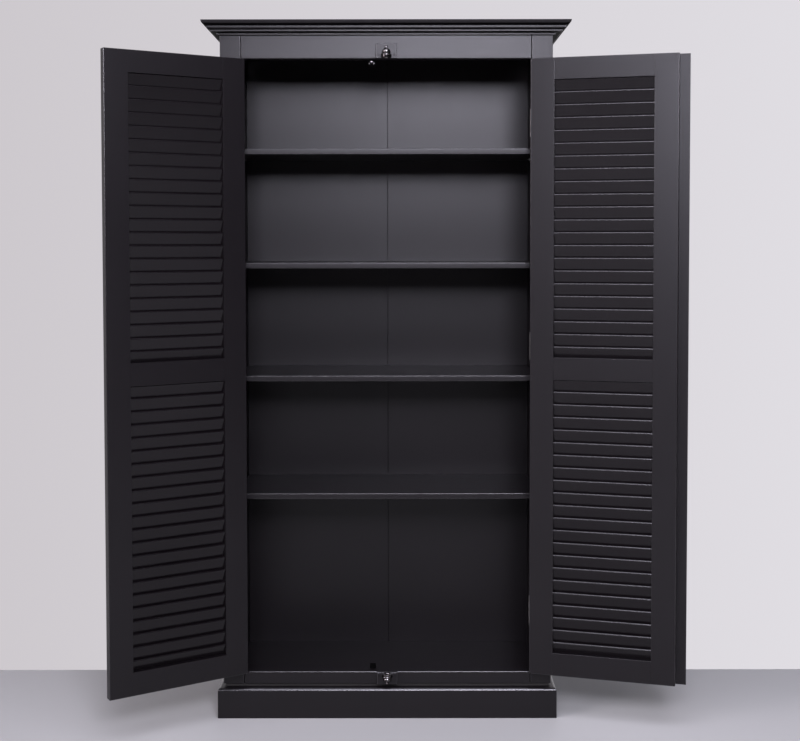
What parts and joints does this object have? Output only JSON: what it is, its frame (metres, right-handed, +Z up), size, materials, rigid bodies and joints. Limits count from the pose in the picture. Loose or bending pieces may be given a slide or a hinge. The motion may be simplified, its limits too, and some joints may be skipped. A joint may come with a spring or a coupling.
{
  "type": "louvred door cabinet",
  "caption": "Tall painted cupboard with a moulded cornice, plinth, shelves and louvred double doors, held shut by a knob-driven bolt along the meeting strip.",
  "frame": {"origin": "on the floor under the middle of the carcass, on the underside of the base's centre bearer", "axes": "+Z up, the doors and the front face -Y, +X to the right of someone who faces the front"},
  "size_m": [1.5266, 0.5918, 1.9],
  "materials": {
    "frame_paint": "satin black paint on wood",
    "carcass_paint": "satin black paint on board",
    "door_paint": "satin black paint on wood",
    "slat_paint": "satin black paint on thin slats",
    "base_wood": "thin black primer on softwood",
    "hinge_metal": "nickel plated",
    "keeper_metal": "polished nickel",
    "bolt_metal": "satin nickel"
  },
  "bodies": {
    "cabinet": {"back_board_left": "carcass_paint", "back_board_right": "carcass_paint", "base_back_rail": "base_wood", "base_centre_bearer": "base_wood", "base_front_rail": "base_wood", "base_side_rail_left": "base_wood", "base_side_rail_right": "base_wood", "bottom_rail": "frame_paint", "carcass_wall_left": "carcass_paint", "carcass_wall_right": "carcass_paint", "corner_post_left": "frame_paint", "corner_post_right": "frame_paint", "cornice_front": "frame_paint", "cornice_left": "frame_paint", "cornice_right": "frame_paint", "door_stops": "frame_paint", "fixed_shelf_1": "carcass_paint", "fixed_shelf_2": "carcass_paint", "floor_panel": "carcass_paint", "frieze_rail": "frame_paint", "hinge_frame_leaves": "hinge_metal", "keeper_block_bottom": "frame_paint", "keeper_block_top": "frame_paint", "keepers": "keeper_metal", "loose_shelf_1": "carcass_paint", "loose_shelf_2": "carcass_paint", "plinth_front": "frame_paint", "plinth_left": "frame_paint", "plinth_right": "frame_paint", "shelf_pins": "bolt_metal", "side_bottom_rail_left": "frame_paint", "side_bottom_rail_right": "frame_paint", "side_rear_stile_left": "frame_paint", "side_rear_stile_right": "frame_paint", "side_top_rail_left": "frame_paint", "side_top_rail_right": "frame_paint", "top_panel": "carcass_paint"},
    "left_door": {"left_door_bottom_rail": "door_paint", "left_door_hinge_stile": "door_paint", "left_door_lower_slats": "slat_paint", "left_door_meeting_stile": "door_paint", "left_door_middle_rail": "door_paint", "left_door_top_rail": "door_paint", "left_door_upper_slats": "slat_paint", "left_hinge_door_leaves": "hinge_metal"},
    "right_door": {"right_door_bottom_rail": "door_paint", "right_door_hinge_stile": "door_paint", "right_door_lower_slats": "slat_paint", "right_door_meeting_stile": "door_paint", "right_door_middle_rail": "door_paint", "right_door_top_rail": "door_paint", "right_door_upper_slats": "slat_paint", "right_hinge_door_leaves": "hinge_metal", "meeting_strip": "door_paint", "rod_guides": "bolt_metal", "bolt_case": "bolt_metal"},
    "bolt_turn": {"bolt_knob": "bolt_metal", "bolt_pinion": "bolt_metal"},
    "upper_rod": {"upper_rod": "bolt_metal"},
    "lower_rod": {"lower_rod": "bolt_metal"}
  },
  "joints": [
    {"name": "left_door_hinge", "type": "hinge", "parent": "cabinet", "child": "left_door", "pos_m": [-0.393, -0.183, 0.964], "axis": [0, 0, -1], "range_deg": [-147.9, 22.1]},
    {"name": "right_door_hinge", "type": "hinge", "parent": "cabinet", "child": "right_door", "pos_m": [0.393, -0.183, 0.964], "axis": [0, 0, 1], "range_deg": [-164.6, 5.4]},
    {"name": "bolt_knob_turn", "type": "hinge", "parent": "right_door", "child": "bolt_turn", "pos_m": [0.77627, -0.27146, 1.21], "axis": [0.2656, 0.9641, 0], "range_deg": [0, 90]},
    {"name": "upper_rod_slide", "type": "slide", "parent": "right_door", "child": "upper_rod", "axis": [0, 0, 1], "range_m": [0, 0.0142]},
    {"name": "lower_rod_slide", "type": "slide", "parent": "right_door", "child": "lower_rod", "axis": [0, 0, -1], "range_m": [0, 0.01414]}
  ],
  "couplings": [
    {"joint": "bolt_knob_turn", "follows": "lower_rod_slide", "rad_per_m": 111.11},
    {"joint": "upper_rod_slide", "follows": "lower_rod_slide", "ratio": 1}
  ]
}
